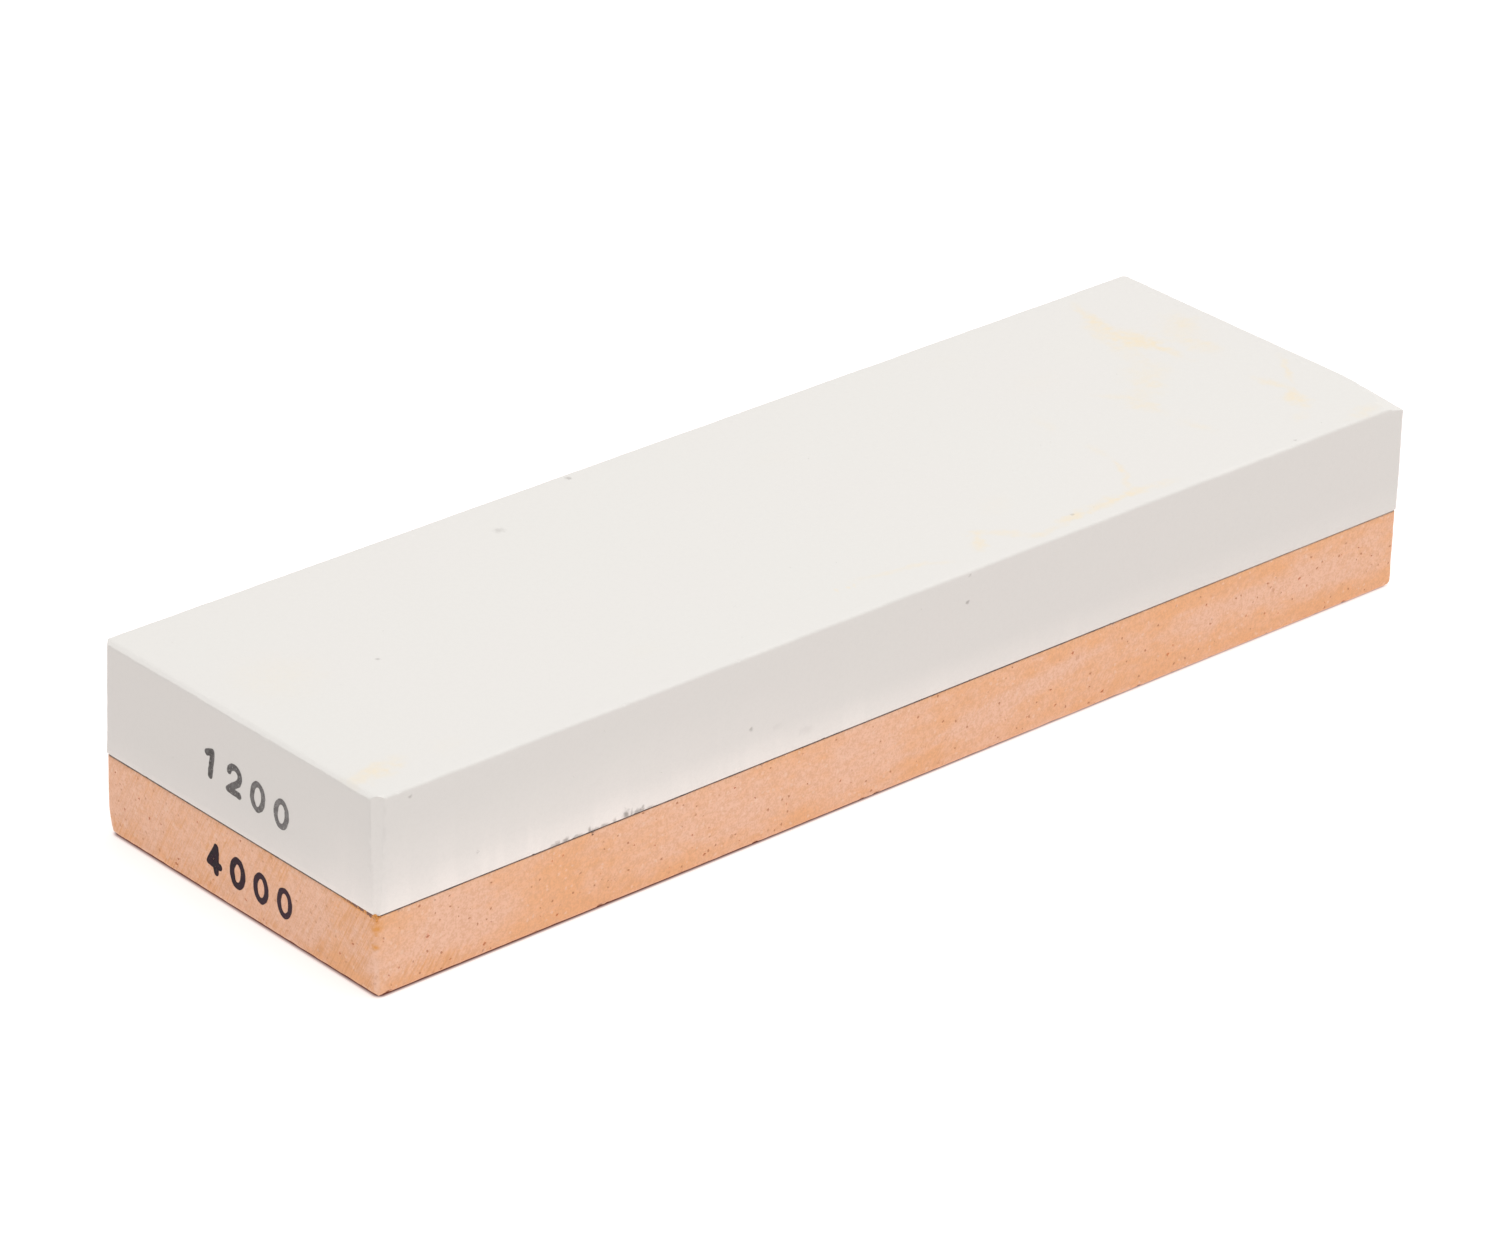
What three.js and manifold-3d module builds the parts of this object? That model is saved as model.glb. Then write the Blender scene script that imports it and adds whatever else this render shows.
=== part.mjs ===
// A two-sided sharpening stone. A coarse and a fine abrasive block, each pressed and fired on its
// own, are ground to one plan size and glued back to back, and each block's grit number is
// stamped in ink on one end. Units are millimetres. X runs along the stone, Y across it and Z
// up; the origin is at the middle of the underside, which is the fine block's honing face.

import * as THREE from "three";
import { mergeVertices } from "three/addons/utils/BufferGeometryUtils.js";
import Module from "manifold-3d";

// Driving dimensions.
const stoneLength = 200;
const stoneWidth = 60.8;
const coarseThickness = 18;
const fineThickness = 12.8;
const bondThickness = 0.2; // the cured glue between the blocks
const bondRecess = 0.15; // how far the glue stops short of the blocks' faces

// Edges. An arris is where a side meets a honing face; a corner is where two sides meet.
const coarseArris = 0.8;
const coarseCorner = 0.9;
const coarseCornerWear = 0.5; // how much rounder a corner gets where it meets the honing face
const coarseWearHeight = 2.5; // and over what height
const fineArris = 0.9;
const fineCorner = 1.1;
const fineCornerWear = 1.5;
const fineWearHeight = 4;

// Grit numbers, one row of digits on each block.
const coarseGrit = "1200";
const fineGrit = "4000";
const digitHeight = 4.9;
const digitWidth = 3.4;
const strokeWidth = 0.95;
const digitPitch = 5.25; // from the middle of one digit to the middle of the next
const inkFilm = 0.05;
const coarseMarkShift = 1.9; // from the middle of the end towards the -Y side
const coarseMarkDrop = 1.2; // below the middle of the block's thickness
const coarseMarkTilt = -4.8; // degrees, as the stamp was held
const fineMarkShift = 2.45;
const fineMarkDrop = -0.1;
const fineMarkTilt = -0.9;

// How finely round stretches are faceted.
const cornerFacets = 6;
const arrisFacets = 5;
const strokeFacets = 18;
const capFacets = 8;

const wasm = await Module();
wasm.setup();

// ---- The blocks ----

// One level of a block: a rectangle with round corners, set in from the plan size all round.
function roundedOutline(inset, radius, z) {
  const outline = [];
  for (const [quarter, sideX, sideY] of [[0, 1, 1], [1, -1, 1], [2, -1, -1], [3, 1, -1]]) {
    const centreX = sideX * (stoneLength / 2 - inset - radius);
    const centreY = sideY * (stoneWidth / 2 - inset - radius);
    for (let step = 0; step <= cornerFacets; step++) {
      const angle = (quarter + step / cornerFacets) * (Math.PI / 2);
      const x = centreX + radius * Math.cos(angle);
      const y = centreY + radius * Math.sin(angle);
      outline.push(new THREE.Vector3(x, y, z));
    }
  }
  return outline;
}

// A closed skin over outlines that lie one above the other and have equally many points. Its two
// ends are fans about their middles.
function loft(outlines) {
  const around = outlines[0].length;
  const last = (outlines.length - 1) * around;
  const bottomMiddle = outlines.length * around;
  const topMiddle = bottomMiddle + 1;
  const points = outlines.flat();
  points.push(new THREE.Vector3(0, 0, points[0].z), new THREE.Vector3(0, 0, points[last].z));
  const faces = [];
  for (let level = 0; level < last; level += around) {
    for (let i = 0; i < around; i++) {
      const next = (i + 1) % around;
      faces.push(level + i, level + next, level + around + i);
      faces.push(level + next, level + around + next, level + around + i);
    }
  }
  for (let i = 0; i < around; i++) {
    const next = (i + 1) % around;
    faces.push(bottomMiddle, next, i);
    faces.push(topMiddle, last + i, last + next);
  }
  return new THREE.BufferGeometry().setFromPoints(points).setIndex(faces);
}

// A block standing on its glued face, with the honing face on top. The glued edges stay square.
// Towards the honing face the corners wear rounder, and its arrises are dressed to a quarter round.
function dressedBlock(thickness, arris, corner, cornerWear, wearHeight) {
  const shoulder = thickness - arris; // where the arris begins
  const outlines = [roundedOutline(0, corner, 0)];
  for (let step = 0; step <= arrisFacets; step++) {
    const worn = step / arrisFacets;
    const z = shoulder - wearHeight * (1 - worn);
    outlines.push(roundedOutline(0, corner + cornerWear * worn ** 2, z));
  }
  for (let step = 1; step <= arrisFacets; step++) {
    const angle = (step / arrisFacets) * (Math.PI / 2);
    const inset = arris * (1 - Math.cos(angle));
    const z = shoulder + arris * Math.sin(angle);
    outlines.push(roundedOutline(inset, corner + cornerWear, z));
  }
  return loft(outlines);
}

// ---- The stamped digits ----

// A flat stroke of even width with round ends along a smooth line.
function stroke(line) {
  const half = strokeWidth / 2;
  const outline = [];
  const addEdge = (fromEnd) => {
    for (let step = 0; step <= strokeFacets; step++) {
      const along = fromEnd ? 1 - step / strokeFacets : step / strokeFacets;
      const tangent = line.getTangentAt(along).multiplyScalar(fromEnd ? -1 : 1);
      const side = new THREE.Vector2(tangent.y, -tangent.x).multiplyScalar(half);
      outline.push(line.getPointAt(along).add(side));
    }
    const end = line.getPointAt(fromEnd ? 0 : 1);
    const tip = line.getTangentAt(fromEnd ? 0 : 1).multiplyScalar(fromEnd ? -1 : 1);
    for (let step = 1; step < capFacets; step++) {
      const angle = tip.angle() + Math.PI * (step / capFacets - 0.5);
      outline.push(new THREE.Vector2(Math.cos(angle), Math.sin(angle)).multiplyScalar(half).add(end));
    }
  };
  addEdge(false);
  addEdge(true);
  return new THREE.Shape(outline);
}

const straight = (x1, y1, x2, y2) =>
  new THREE.LineCurve(new THREE.Vector2(x1, y1), new THREE.Vector2(x2, y2));

// Each digit is drawn round its own middle, from the lines that a pen would follow.
const penX = (digitWidth - strokeWidth) / 2;
const penY = (digitHeight - strokeWidth) / 2;
const digitShapes = {
  0: () => {
    const ring = new THREE.Shape();
    ring.absellipse(0, 0, digitWidth / 2, digitHeight / 2, 0, Math.PI * 2);
    const inside = new THREE.Path();
    inside.absellipse(0, 0, penX - strokeWidth / 2, penY - strokeWidth / 2, 0, Math.PI * 2);
    ring.holes.push(inside);
    return [ring];
  },
  1: () => [
    stroke(straight(penX * 0.2, penY, 0, -penY)),
    stroke(straight(penX * 0.2, penY, -penX * 0.75, penY * 0.72)),
  ],
  2: () => {
    const bowl = penX;
    const leave = -0.2 * Math.PI; // where the pen leaves the bowl for the diagonal
    const hook = new THREE.Path();
    hook.absarc(0, penY - bowl, bowl, 0.95 * Math.PI, leave, true);
    hook.quadraticCurveTo(bowl * 0.4, -penY * 0.3, -penX, -penY);
    return [stroke(hook), stroke(straight(-penX, -penY, penX, -penY))];
  },
  4: () => {
    const stem = penX * 0.35;
    const bar = -penY * 0.42;
    return [
      stroke(straight(stem, penY, stem, -penY)),
      stroke(straight(stem, penY, -penX, bar)),
      stroke(straight(-penX, bar, penX, bar)),
    ];
  },
};

function toSolid(geometry) {
  const bare = geometry.clone();
  bare.deleteAttribute("normal");
  bare.deleteAttribute("uv");
  const merged = mergeVertices(bare, 1e-4);
  const vertProperties = merged.getAttribute("position").array;
  const triVerts = new Uint32Array(merged.index.array);
  return new wasm.Manifold(new wasm.Mesh({ numProp: 3, vertProperties, triVerts }));
}

function toGeometry(solid) {
  const mesh = solid.getMesh();
  const geometry = new THREE.BufferGeometry();
  geometry.setAttribute("position", new THREE.BufferAttribute(mesh.vertProperties, 3));
  geometry.setIndex(new THREE.BufferAttribute(mesh.triVerts, 1));
  geometry.computeVertexNormals();
  return geometry;
}

// The ink film of one digit, its strokes joined into one solid that lies on the z = 0 plane.
function inkDigit(character) {
  const settings = { depth: inkFilm, bevelEnabled: false, curveSegments: strokeFacets };
  const films = digitShapes[character]().map((shape) =>
    toSolid(new THREE.ExtrudeGeometry(shape, settings)),
  );
  return toGeometry(films.reduce((joined, film) => joined.add(film)));
}

// ---- Assembly ----

const whetstone = new THREE.Group();

function place(parent, name, geometry, material, z = 0) {
  const mesh = new THREE.Mesh(geometry, material);
  mesh.name = name;
  mesh.position.z = z;
  parent.add(mesh);
  return mesh;
}

const bondTop = fineThickness + bondThickness;

const fineBlock = dressedBlock(fineThickness, fineArris, fineCorner, fineCornerWear, fineWearHeight);
fineBlock.computeVertexNormals();
const fineCeramic = new THREE.MeshStandardMaterial({ color: 0xe3b08c, roughness: 0.85, metalness: 0 });
place(whetstone, "fine_stone", fineBlock, fineCeramic, fineThickness).rotation.x = Math.PI;

const bondCorner = Math.min(coarseCorner, fineCorner);
const bondSheet = loft([
  roundedOutline(bondRecess, bondCorner, 0),
  roundedOutline(bondRecess, bondCorner, bondThickness),
]);
bondSheet.computeVertexNormals();
const curedResin = new THREE.MeshStandardMaterial({ color: 0x6e6258, roughness: 0.45, metalness: 0 });
place(whetstone, "bond_layer", bondSheet, curedResin, fineThickness);

const coarseBlock = dressedBlock(
  coarseThickness,
  coarseArris,
  coarseCorner,
  coarseCornerWear,
  coarseWearHeight,
);
coarseBlock.computeVertexNormals();
const coarseCeramic = new THREE.MeshStandardMaterial({ color: 0xebe8e2, roughness: 0.8, metalness: 0 });
place(whetstone, "coarse_stone", coarseBlock, coarseCeramic, bondTop);

// A row of digits on the -X end, read from outside: its own X runs along -Y and its Y runs up.
function stampRow(name, digits, material, shift, height, tilt) {
  const end = new THREE.Group();
  end.position.set(-stoneLength / 2, -shift, height);
  const facing = new THREE.Matrix4().makeBasis(
    new THREE.Vector3(0, -1, 0),
    new THREE.Vector3(0, 0, 1),
    new THREE.Vector3(-1, 0, 0),
  );
  end.quaternion.setFromRotationMatrix(facing);
  const row = new THREE.Group();
  row.rotation.z = THREE.MathUtils.degToRad(tilt);
  end.add(row);
  whetstone.add(end);
  const middle = (digits.length - 1) / 2;
  [...digits].forEach((digit, i) => {
    const film = place(row, `${name}_${i + 1}`, inkDigit(digit), material);
    film.position.x = (i - middle) * digitPitch;
  });
}

const greyInk = new THREE.MeshStandardMaterial({ color: 0x77746f, roughness: 0.75, metalness: 0 });
const coarseMarkHeight = bondTop + coarseThickness / 2 - coarseMarkDrop;
stampRow("coarse_grit_digit", coarseGrit, greyInk, coarseMarkShift, coarseMarkHeight, coarseMarkTilt);

const darkInk = new THREE.MeshStandardMaterial({ color: 0x33222a, roughness: 0.6, metalness: 0 });
const fineMarkHeight = fineThickness / 2 - fineMarkDrop;
stampRow("fine_grit_digit", fineGrit, darkInk, fineMarkShift, fineMarkHeight, fineMarkTilt);

export default whetstone;
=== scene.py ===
import math
import random

import bmesh
import bpy
from mathutils import Matrix, Vector, kdtree, noise


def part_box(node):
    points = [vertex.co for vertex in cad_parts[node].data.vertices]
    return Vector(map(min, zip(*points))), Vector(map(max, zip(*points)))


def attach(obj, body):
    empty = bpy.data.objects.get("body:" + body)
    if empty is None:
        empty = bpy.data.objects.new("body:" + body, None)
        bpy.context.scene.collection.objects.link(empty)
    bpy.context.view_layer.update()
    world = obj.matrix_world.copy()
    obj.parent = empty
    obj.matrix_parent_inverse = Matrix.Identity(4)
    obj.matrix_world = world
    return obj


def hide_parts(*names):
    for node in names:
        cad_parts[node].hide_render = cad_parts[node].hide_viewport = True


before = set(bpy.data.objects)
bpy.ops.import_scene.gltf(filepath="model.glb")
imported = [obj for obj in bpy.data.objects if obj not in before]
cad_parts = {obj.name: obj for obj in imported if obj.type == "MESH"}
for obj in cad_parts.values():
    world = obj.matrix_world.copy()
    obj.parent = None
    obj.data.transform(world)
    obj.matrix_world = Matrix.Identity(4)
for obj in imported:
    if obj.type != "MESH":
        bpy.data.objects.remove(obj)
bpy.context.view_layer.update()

# ---------------------------------------------------------------------------------------------
# The fine block. A thin slab of peach-coloured abrasive, pressed, fired and ground flat. Its
# side faces keep the slanting marks of the grinding wheel, pits where grains have pulled out,
# and cloudy patches where the firing took unevenly. Its arrises are rubbed round by hand.
# ---------------------------------------------------------------------------------------------
mm = 0.001
lattice = 1.0 * mm  # how far apart the points of a block's faces are
touching = 0.001 * mm  # points closer than this lie on the same face or in the same place

fine_low = Vector(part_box("fine_stone")[0])
fine_high = Vector(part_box("fine_stone")[1])
fine_arris = 0.8 * mm
fine_rub = 0.2 * mm  # how deep the arrises are rubbed away at most
broken_edge = 0.1 * mm  # the edges next to the glue
pit_jitter = 0.3 * mm  # how far a pit lies off the lattice


def lattice_box(low, high):
    """A closed box of near-square faces, one lattice step wide."""
    block = bmesh.new()
    bmesh.ops.create_cube(block, size=1)
    size = high - low
    bmesh.ops.scale(block, vec=size, verts=block.verts)
    bmesh.ops.translate(block, vec=(low + high) / 2, verts=block.verts)
    for axis in range(3):
        whole = [e for e in block.edges
                 if abs(e.verts[1].co[axis] - e.verts[0].co[axis]) > 0.9 * size[axis]]
        cuts = max(round(size[axis] / lattice), 2) - 1
        bmesh.ops.subdivide_edges(block, edges=whole, cuts=cuts, use_grid_fill=True)
    return block


def ease_edges(block, low, high, glued_z, arris):
    """Rounds the arrises and upright corners, and only just breaks the edges at the glue."""
    def on_box_edge(edge):
        near = [sorted(min(v.co[i] - low[i], high[i] - v.co[i]) for i in range(3))
                for v in edge.verts]
        return all(gaps[1] < touching for gaps in near)

    def at_glue(edge):
        return all(abs(v.co.z - glued_z) < touching for v in edge.verts)

    rounded = [e for e in block.edges if on_box_edge(e) and not at_glue(e)]
    bmesh.ops.bevel(block, geom=rounded, offset=arris, offset_type="OFFSET", segments=4,
                    profile=0.5, affect="EDGES", clamp_overlap=True, material=-1)
    block.normal_update()
    square = [e for e in block.edges if at_glue(e) and e.calc_face_angle(0) > 1]
    bmesh.ops.bevel(block, geom=square, offset=broken_edge, offset_type="OFFSET", segments=1,
                    profile=0.5, affect="EDGES", clamp_overlap=True, material=-1)
    block.normal_update()


def sink_pits(block, places, rng):
    """Sinks a small ragged pit at the lattice point nearest each (point, radius). What the
    bevel makes is taken in order of place, as its own order is not the same each time."""
    block.verts.ensure_lookup_table()
    tree = kdtree.KDTree(len(block.verts))
    for vertex in block.verts:
        tree.insert(vertex.co, vertex.index)
    tree.balance()
    chosen = {}
    for point, radius in places:
        vertex = block.verts[tree.find(point)[1]]
        flat = max(abs(c) for c in vertex.normal) > 0.999
        if flat and not any(n in chosen for e in vertex.link_edges for n in e.verts):
            chosen[vertex] = radius

    def slide(vertex, reach):
        shift = Vector([rng.uniform(-reach, reach) for _ in range(3)])
        vertex.co += shift - vertex.normal * shift.dot(vertex.normal)

    def by_place(point):
        return tuple(round(c / touching) for c in point)

    for radius in sorted(set(chosen.values())):
        mouths = [v for v, r in chosen.items() if r == radius]
        for vertex in mouths:
            slide(vertex, pit_jitter)
        made = bmesh.ops.bevel(block, geom=mouths, offset=radius, offset_type="OFFSET",
                               segments=1, profile=0.5, affect="VERTICES", material=-1)
        floors = sorted(made["faces"], key=lambda f: by_place(f.calc_center_median()))
        block.normal_update()
        for face in floors:
            for vertex in sorted(face.verts, key=lambda v: by_place(v.co)):
                slide(vertex, radius * 0.45)
        bmesh.ops.inset_individual(block, faces=floors, thickness=radius * 0.3,
                                   depth=-radius * 0.7)


def scatter_pits(low, high, honed_z, count, across, sizes, rng):
    """Random pits on the sides and the honing face. Each lies on a face across one of the
    axes in across, and an axis that stands there more often gets more."""
    pits = []
    for _ in range(count):
        point = Vector([rng.uniform(low[i], high[i]) for i in range(3)])
        axis = rng.choice(across)
        point[axis] = honed_z if axis == 2 else rng.choice((low, high))[axis]
        pits.append((point, rng.choice(sizes)))
    return pits


def wear(block, low, high, glued_z, arris, rub, flats, chips, seed):
    """Rubs the arrises unevenly, dresses each edge or corner to its (corner, slope, depth)
    flat, and knocks a scoop out at each (centre, radius). Marks what it touches as worn."""
    chip_tree = kdtree.KDTree(len(chips))
    for i, (centre, _) in enumerate(chips):
        chip_tree.insert(centre, i)
    chip_tree.balance()
    short_edge = 0.15 * mm
    past_any_chip = 2.5 * mm

    def near_chip(edge):
        _, i, distance = chip_tree.find((edge.verts[0].co + edge.verts[1].co) / 2)
        return distance < chips[i][1] * 1.5 + lattice * 0.5

    for _ in range(2):
        close = [e for e in block.edges if near_chip(e) and e.calc_length() > short_edge]
        bmesh.ops.subdivide_edges(block, edges=close, cuts=1, use_grid_fill=True)
    for corner, slope, depth in flats:
        outward = Vector(slope).normalized()
        bmesh.ops.bisect_plane(block, geom=block.verts[:] + block.edges[:] + block.faces[:],
                               dist=0.01 * mm, plane_co=corner - outward * depth,
                               plane_no=outward)
    block.normal_update()
    honed_z = low.z + high.z - glued_z
    origin = Vector((seed * 7.1, seed * 3.3, seed * 1.7))
    worn_and_highlit = block.verts.layers.float.new("worn_and_highlit")
    moves = []
    for vertex in block.verts:
        gaps = sorted([min(vertex.co.x - low.x, high.x - vertex.co.x),
                       min(vertex.co.y - low.y, high.y - vertex.co.y),
                       abs(honed_z - vertex.co.z)])
        closeness = max(0.0, 1 - gaps[1] / (2.2 * arris))
        broad = noise.noise(vertex.co / (9 * mm) + origin)
        small = noise.noise(vertex.co / (1.3 * mm) + origin)
        amount = closeness * max(0.0, 0.45 + 0.7 * broad + 0.35 * small)
        vertex[worn_and_highlit] = amount
        moves.append(vertex.co - vertex.normal * rub * amount)
    for vertex, place in zip(block.verts, moves):
        vertex.co = place
    for corner, slope, depth in flats:
        outward = Vector(slope).normalized()
        for vertex in block.verts:
            rough = depth * (1 + 0.10 * noise.noise(vertex.co / (1.6 * mm) + origin))
            above = (vertex.co - corner).dot(outward) + rough
            if above > 0:
                vertex.co -= outward * above
                vertex[worn_and_highlit] = 1
    for vertex in block.verts:
        for centre, i, distance in chip_tree.find_range(vertex.co, past_any_chip):
            ragged = 1 + 0.22 * noise.noise(vertex.co / (0.35 * mm) + origin)
            reach = chips[i][1] * ragged
            if 0 < distance < reach:
                vertex.co = centre + (vertex.co - centre) * (reach / distance)
                vertex[worn_and_highlit] = 1
    for vertex in block.verts:
        for i in range(3):
            vertex.co[i] = min(max(vertex.co[i], low[i]), high[i])


def chips_round(low, high, z, count, smallest, largest, rng):
    """Random scoops along the four edges of a block at one height."""
    chips = []
    for _ in range(count):
        along_x = rng.random() < (high.x - low.x) / (high.x - low.x + high.y - low.y)
        x = rng.uniform(low.x, high.x) if along_x else rng.choice((low.x, high.x))
        y = rng.choice((low.y, high.y)) if along_x else rng.uniform(low.y, high.y)
        chips.append((Vector((x, y, z)), rng.uniform(smallest, largest)))
    return chips


sharp_bend = math.radians(50)


def finish_piece(block, name):
    """Makes the mesh object of a finished bmesh, smooth but for its sharp edges. Faces with
    many sides are cut into triangles here, so that the mesh stays closed when exported."""
    many_sided = [f for f in block.faces if len(f.verts) > 4]
    bmesh.ops.triangulate(block, faces=many_sided, quad_method="BEAUTY", ngon_method="BEAUTY")
    bmesh.ops.recalc_face_normals(block, faces=block.faces)
    for face in block.faces:
        face.smooth = True
    mesh = bpy.data.meshes.new(name)
    block.to_mesh(mesh)
    block.free()
    mesh.set_sharp_from_angle(angle=sharp_bend)
    piece = bpy.data.objects.new(name, mesh)
    bpy.context.collection.objects.link(piece)
    return piece


rng = random.Random(4)
fine_block = lattice_box(fine_low, fine_high)
ease_edges(fine_block, fine_low, fine_high, fine_high.z, fine_arris)

# The larger pits on the long side, by x and z, and on the stamped end, by y and z.
fine_pits = []
for x, z, size in ((38.5, 1.9, 0.4), (-41, 1.9, 0.32), (28.5, 3.2, 0.24), (27, 5.6, 0.24),
                   (-21, 6.7, 0.24), (-31, 7.5, 0.24), (-43.3, 6, 0.24), (-15, 4.6, 0.24),
                   (79, 7.5, 0.32), (81.5, 6.2, 0.24), (92, 9, 0.24), (95, 6.7, 0.24),
                   (31, 10.5, 0.32), (58.5, 9.5, 0.24), (71.5, 9.3, 0.24), (-35, 11.2, 0.24),
                   (-91.5, 6.8, 0.32), (-81, 2.2, 0.32), (-68, 2.2, 0.24), (50.5, 4.2, 0.32)):
    fine_pits.append((Vector((x * mm, fine_low.y, z * mm)), size * mm))
for y, z, size in ((22.2, 8.7, 0.24), (26, 6, 0.24), (20.5, 6.8, 0.24), (17, 7.3, 0.24),
                   (14.8, 1.8, 0.32), (13.3, 2.6, 0.24), (28, 11.2, 0.24), (9.8, 10.4, 0.24),
                   (0, 11.4, 0.24), (-25.7, 7.2, 0.32), (-22.8, 3.9, 0.24), (-1.3, 3, 0.24)):
    fine_pits.append((Vector((fine_low.x, y * mm, z * mm)), size * mm))
fine_pits += scatter_pits(fine_low, fine_high, fine_low.z, 320, (1, 1, 1, 0, 2),
                          (0.09 * mm, 0.09 * mm, 0.13 * mm, 0.13 * mm, 0.18 * mm), rng)
sink_pits(fine_block, fine_pits, rng)

# Near and far, left and right are as seen with the stamped end to the left.
near_left = Vector((fine_low.x, fine_low.y, fine_low.z))
far_left = Vector((fine_low.x, fine_high.y, fine_low.z))
near_right = Vector((fine_high.x, fine_low.y, fine_low.z))
far_right = Vector((fine_high.x, fine_high.y, fine_low.z))
fine_flats = [
    (near_left, (-0.70, 0, -0.70), 0.74 * mm),
    (near_right, (-0.0007, -0.70, -0.70), 0.42 * mm),
    (near_right, (0.65, -0.30, -0.70), 0.95 * mm),
    (near_left, (-0.707, -0.707, -0.02), 0.56 * mm),
    (far_left, (-0.74, 0.67, -0.14), 1.02 * mm),
    (far_left, (-0.74, 0.67, -0.33), 1.3 * mm),
    (far_right, (0.60, 0.66, -0.30), 0.9 * mm),
]
fine_chips = chips_round(fine_low, fine_high, fine_low.z, 22, 0.62 * mm, 0.86 * mm, rng)
fine_chips.append((Vector((-97.7, -30.4, 0)) * mm, 0.95 * mm))
fine_chips += chips_round(fine_low, fine_high, fine_high.z, 34, 0.2 * mm, 0.38 * mm, rng)
# The row of scoops along the top edge of the end, which the squeezed-out resin fills.
for step in range(10):
    y = (-23.4 - 0.72 * step) * mm
    fine_chips.append((Vector((fine_low.x, y, fine_high.z)), (0.24 + 0.02 * step) * mm))
wear(fine_block, fine_low, fine_high, fine_high.z, fine_arris, fine_rub, fine_flats,
     fine_chips, seed=1)
fine_piece = finish_piece(fine_block, "fine_block")


def add_node(tree, kind, settings={}, inputs={}):
    """Adds a shader node, sets its properties, and fills its inputs with values or links."""
    node = tree.nodes.new("ShaderNode" + kind)
    for key, value in settings.items():
        setattr(node, key, value)
    for key, value in inputs.items():
        if isinstance(value, bpy.types.NodeSocket):
            tree.links.new(value, node.inputs[key])
        else:
            node.inputs[key].default_value = value
    return node


def new_material(name, roughness):
    """A material with its node tree, its Principled shader, and the place on it in mm."""
    material = bpy.data.materials.new(name)
    material.use_nodes = True
    tree = material.node_tree
    shader = tree.nodes["Principled BSDF"]
    shader.inputs["Roughness"].default_value = roughness
    metres = add_node(tree, "TexCoord").outputs["Object"]
    in_mm = add_node(tree, "Mapping", {}, {"Vector": metres, "Scale": (1000, 1000, 1000)})
    return material, tree, shader, in_mm.outputs["Vector"]


def calc(tree, operation, first, second=0.0):
    """One sum on one or two values."""
    return add_node(tree, "Math", {"operation": operation}, {0: first, 1: second}).outputs[0]


def ramp(tree, value, start, end, low=0.0, high=1.0):
    """A value carried smoothly from low at start to high at end, and held beyond them."""
    settings = {"clamp": True, "interpolation_type": "SMOOTHSTEP"}
    inputs = {"Value": value, "From Min": start, "From Max": end, "To Min": low, "To Max": high}
    return add_node(tree, "MapRange", settings, inputs).outputs[0]


def cloud(tree, place, per_mm, detail=3.0):
    """Soft noise round 0.5."""
    inputs = {"Vector": place, "Scale": per_mm, "Detail": detail}
    return add_node(tree, "TexNoise", {}, inputs).outputs["Fac"]


def blend(tree, factor, first, second):
    """Two colours mixed by a factor."""
    inputs = {0: factor, 6: first, 7: second}
    return add_node(tree, "Mix", {"data_type": "RGBA"}, inputs).outputs[2]


def split(tree, place):
    """The x, y and z of a place."""
    return add_node(tree, "SeparateXYZ", {}, {0: place}).outputs


def begin_group(name, inputs, output):
    """An empty node group. Returns it with its input sockets and its output node."""
    group = bpy.data.node_groups.new(name, "ShaderNodeTree")
    for socket, kind, value in inputs:
        made = group.interface.new_socket(socket, in_out="INPUT", socket_type=kind)
        if value is not None:
            made.default_value = value
    group.interface.new_socket(output, in_out="OUTPUT", socket_type="NodeSocketFloat")
    given = group.nodes.new("NodeGroupInput").outputs
    return group, given, group.nodes.new("NodeGroupOutput").inputs[0]


def use_group(tree, group, **inputs):
    """Places a node group, with its inputs by name, and returns its output."""
    named = {key.replace("_", " "): value for key, value in inputs.items()}
    return add_node(tree, "Group", {"node_tree": group}, named).outputs[0]


def unevenness(tree, place, per_mm, amount):
    """Noise round 0, of a given strength."""
    centred = calc(tree, "SUBTRACT", cloud(tree, place, per_mm), 0.5)
    return calc(tree, "MULTIPLY", centred, amount)


def in_degrees(x, y, z):
    return (math.radians(x), math.radians(y), math.radians(z))


vector, number = "NodeSocketVector", "NodeSocketFloat"

# Specks: scattered dots of uneven size and outline, as odd grains give.
specks, given, result = begin_group(
    "specks",
    [("Place", vector, None), ("Per mm", number, 0.5), ("Size", number, 0.2),
     ("Share", number, 0.5)],
    "Mask",
)
cells = add_node(specks, "TexVoronoi", {}, {"Vector": given["Place"], "Scale": given["Per mm"]})
luck = add_node(specks, "SeparateColor", {}, {0: cells.outputs["Color"]}).outputs[0]
reach = calc(specks, "MULTIPLY", given["Size"], given["Per mm"])
reach = calc(specks, "MULTIPLY", reach, calc(specks, "SUBTRACT", 1.35, luck))
ragged = ramp(specks, cloud(specks, given["Place"], 4.0), 0.3, 0.7, 0.7, 1.5)
distance = calc(specks, "MULTIPLY", cells.outputs["Distance"], ragged)
dot = ramp(specks, calc(specks, "DIVIDE", distance, reach), 1.0, 0.5)
present = calc(specks, "LESS_THAN", luck, given["Share"])
specks.links.new(calc(specks, "MULTIPLY", dot, present), result)

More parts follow.
